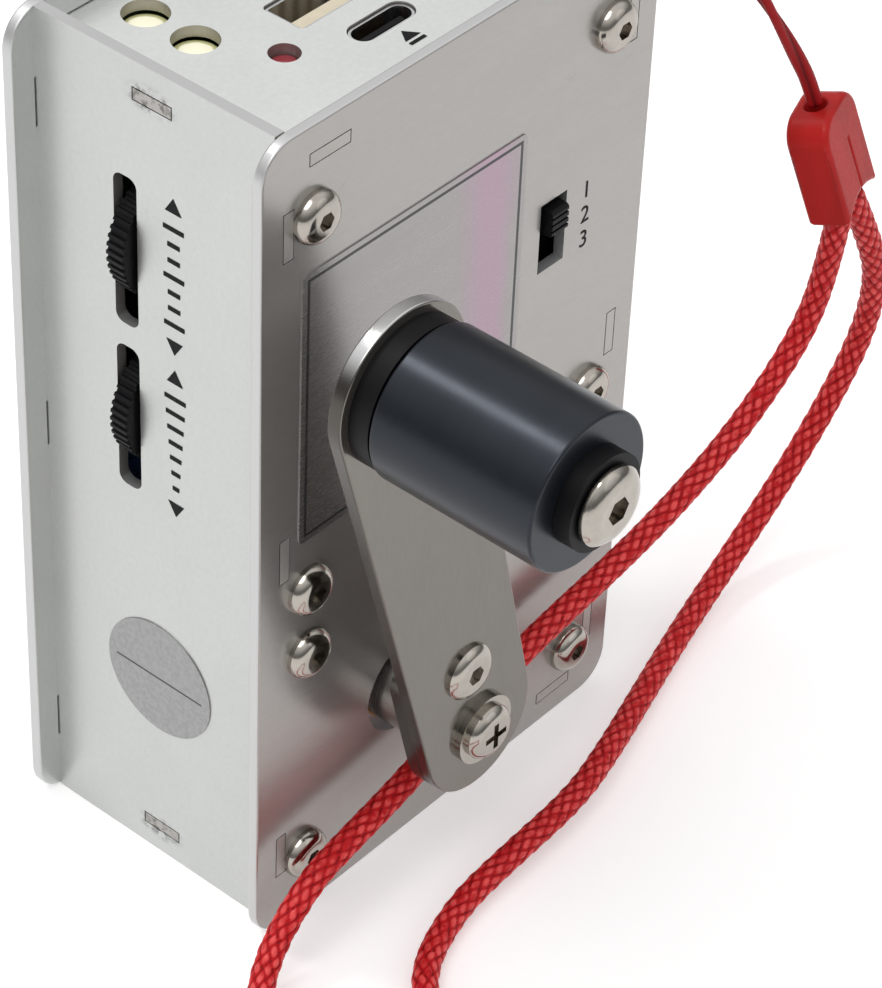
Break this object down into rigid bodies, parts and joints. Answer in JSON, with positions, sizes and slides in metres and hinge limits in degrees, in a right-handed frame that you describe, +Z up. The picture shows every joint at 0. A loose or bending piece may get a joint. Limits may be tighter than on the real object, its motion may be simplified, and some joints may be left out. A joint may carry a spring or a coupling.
{
  "type": "hand crank generator",
  "caption": "Pocket hand crank generator and radio: tab-and-slot sheet case, side crank with a turning grip, thumbwheels, slide switch, lamps, charging sockets and wrist strap.",
  "frame": {"origin": "on the floor, under the middle of the box round everything but the wrist strap", "axes": "+X to the right seen from the crank side, +Y from the crank side to the back, +Z up to the lamps and sockets"},
  "size_m": [0.1326, 0.1098, 0.112],
  "materials": {
    "case_sheet": "brushed",
    "arm_steel": "brushed",
    "machined_steel": "turned",
    "screw_steel": "polished",
    "post_brass": "turned",
    "gear_plate_aluminium": "satin",
    "gear_plastic": "matt",
    "board_green": "satin",
    "black_plastic": "matt",
    "tongue_cream": "satin",
    "socket_steel": "drawn",
    "lamp_lens": "clear",
    "generator_steel": "zinc",
    "coil_copper": "enamelled",
    "cell_wrap": "wrap",
    "grip_blue": "anodised",
    "label_grey": "film",
    "strap_red": "braided",
    "bead_red": "moulded"
  },
  "bodies": {
    "case": {"front_plate": "case_sheet", "back_plate": "case_sheet", "left_panel": "case_sheet", "right_panel": "case_sheet", "top_panel": "case_sheet", "bottom_panel": "case_sheet", "idler_arbor": "machined_steel", "front_screws": "screw_steel", "back_screws": "screw_steel", "inner_screws": "screw_steel", "board_posts": "post_brass", "gearbox_posts": "post_brass", "rear_posts": "post_brass", "front_bush": "post_brass", "rear_bush": "post_brass", "lanyard_eyelet": "post_brass", "front_gear_plate": "gear_plate_aluminium", "rear_gear_plate": "gear_plate_aluminium", "main_board": "board_green", "port_board": "board_green", "band_switch_body": "black_plastic", "tuning_potentiometer": "black_plastic", "volume_potentiometer": "black_plastic", "usb_c_tongue": "black_plastic", "speaker_frame": "black_plastic", "speaker_cone": "black_plastic", "usb_a_tongue": "tongue_cream", "usb_a_shell": "socket_steel", "usb_c_shell": "socket_steel", "torch_lamps": "lamp_lens", "charge_lamp": "lamp_lens", "generator_can": "generator_steel", "generator_end_cap": "generator_steel", "speaker_magnet": "generator_steel", "generator_coils": "coil_copper", "battery_cell": "cell_wrap", "rating_label": "label_grey", "round_sticker": "label_grey", "strap_string": "strap_red", "strap_loop": "strap_red", "strap_bead": "bead_red"},
    "crank": {"crank_arm": "arm_steel", "hub_plate": "arm_steel", "crank_shaft": "machined_steel", "crank_gear": "gear_plastic", "arm_screw": "screw_steel", "arm_washer": "screw_steel", "arm_lock_screw": "screw_steel", "shaft_clip": "machined_steel", "grip_collar": "black_plastic", "grip_bolt": "screw_steel", "grip_nut": "machined_steel"},
    "grip": {"grip": "grip_blue", "grip_sleeve": "black_plastic"},
    "idler": {"idler_gear": "gear_plastic"},
    "generator_shaft": {"generator_rotor": "machined_steel", "generator_pinion": "post_brass"},
    "tuning_wheel": {"tuning_wheel": "black_plastic"},
    "volume_wheel": {"volume_wheel": "black_plastic"},
    "band_slider": {"band_switch_slider": "black_plastic"}
  },
  "joints": [
    {"name": "crank_spin", "type": "hinge", "parent": "case", "child": "crank", "pos_m": [-0.0066, -0.0099, 0.0246], "axis": [0, -1, 0], "continuous": true},
    {"name": "grip_spin", "type": "hinge", "parent": "crank", "child": "grip", "pos_m": [-0.02239, -0.0244, 0.08352], "axis": [0, -1, 0], "continuous": true},
    {"name": "idler_spin", "type": "hinge", "parent": "case", "child": "idler", "pos_m": [0.015, 0.0076, 0.0246], "axis": [0, -1, 0], "continuous": true},
    {"name": "generator_spin", "type": "hinge", "parent": "case", "child": "generator_shaft", "pos_m": [0.00813, 0.0126, 0.03651], "axis": [0, -1, 0], "continuous": true},
    {"name": "tuning_turn", "type": "hinge", "parent": "case", "child": "tuning_wheel", "pos_m": [-0.0226, 0.0231, 0.0871], "axis": [0, -1, 0], "range_deg": [-150, 150]},
    {"name": "volume_turn", "type": "hinge", "parent": "case", "child": "volume_wheel", "pos_m": [-0.0226, 0.0231, 0.0645], "axis": [0, -1, 0], "range_deg": [-20, 280]},
    {"name": "band_slide", "type": "slide", "parent": "case", "child": "band_slider", "axis": [0, 0, -1], "range_m": [0, 0.0042]}
  ],
  "couplings": [
    {"joint": "idler_spin", "follows": "crank_spin", "ratio": -5},
    {"joint": "generator_spin", "follows": "crank_spin", "ratio": 20}
  ]
}
